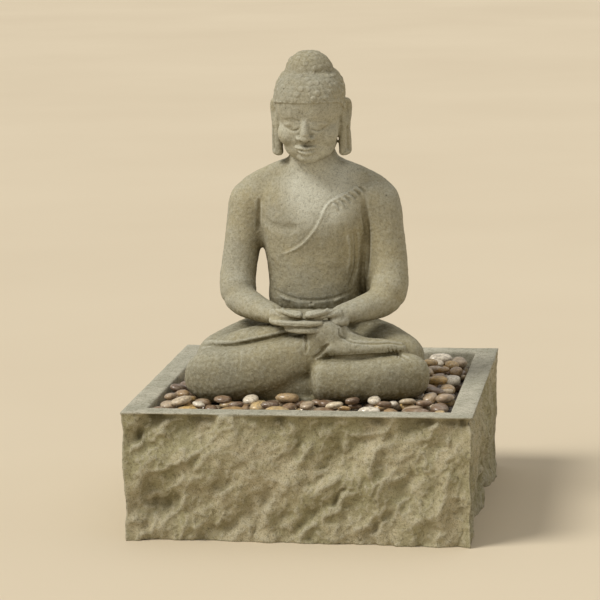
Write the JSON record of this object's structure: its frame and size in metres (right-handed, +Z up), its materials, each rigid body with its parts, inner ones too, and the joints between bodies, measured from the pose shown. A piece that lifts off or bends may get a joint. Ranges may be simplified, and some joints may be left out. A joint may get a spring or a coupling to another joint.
{
  "type": "buddha statue",
  "caption": "Seated Buddha in meditation, cast stone, on a square rock-faced fountain basin filled with river pebbles over a hidden reservoir and pump.",
  "frame": {"origin": "centre of the basin's underside, on the ground", "axes": "+Z up, -Y is the front that the figure faces, +X is the figure's left hand side (a viewer's right)"},
  "size_m": [0.61, 0.61, 0.834],
  "materials": {
    "cast_stone": "matte",
    "rock_face_stone": "matte",
    "pier_stone": "matte",
    "river_pebble": "satin",
    "grate_metal": "satin",
    "pump_plastic": "satin",
    "dial_plastic": "satin",
    "pipe_plastic": "satin",
    "black_rubber": "matte",
    "rotor_magnet": "matte",
    "ceramic": "satin"
  },
  "bodies": {
    "basin_assembly": {"basin": "rock_face_stone", "seated_figure": "cast_stone", "pier_block_left": "pier_stone", "pier_block_right": "pier_stone", "pier_cap": "pier_stone", "grate_right": "grate_metal", "grate_left": "grate_metal", "pebble_bed": "river_pebble", "cord_grommet": "black_rubber", "pump_motor_block": "pump_plastic", "pump_volute": "pump_plastic", "rotor_shaft": "ceramic", "rotor_bush_rear": "black_rubber", "pump_cable_gland": "black_rubber", "outlet_pipe": "pipe_plastic", "bubbler_cap": "pipe_plastic", "suction_foot_1": "black_rubber", "suction_foot_2": "black_rubber", "suction_foot_3": "black_rubber", "suction_foot_4": "black_rubber", "pebble_01": "river_pebble", "pebble_02": "river_pebble", "pebble_03": "river_pebble", "pebble_04": "river_pebble", "pebble_05": "river_pebble", "pebble_06": "river_pebble", "pebble_07": "river_pebble", "pebble_08": "river_pebble", "pebble_09": "river_pebble", "pebble_10": "river_pebble", "pebble_11": "river_pebble", "pebble_12": "river_pebble", "pebble_13": "river_pebble", "pebble_14": "river_pebble", "pebble_15": "river_pebble", "pebble_16": "river_pebble", "pebble_17": "river_pebble", "pebble_18": "river_pebble", "pebble_19": "river_pebble", "pebble_20": "river_pebble", "pebble_21": "river_pebble", "pebble_22": "river_pebble", "pebble_23": "river_pebble", "pebble_24": "river_pebble"},
    "rotor": {"impeller": "pump_plastic", "rotor_magnet": "rotor_magnet"},
    "intake_cover": {"pump_intake_cover": "pump_plastic"},
    "flow_dial": {"flow_dial": "dial_plastic"}
  },
  "joints": [
    {"name": "rotor_spin", "type": "hinge", "parent": "basin_assembly", "child": "rotor", "pos_m": [0.12, -0.208, 0.073], "axis": [1, 0, 0], "continuous": true},
    {"name": "intake_cover_pull", "type": "slide", "parent": "basin_assembly", "child": "intake_cover", "axis": [-1, 0, 0], "range_m": [0, 0.015]},
    {"name": "flow_dial_turn", "type": "hinge", "parent": "intake_cover", "child": "flow_dial", "pos_m": [0.0837, -0.208, 0.088], "axis": [-1, 0, 0], "range_deg": [0, 90]}
  ]
}
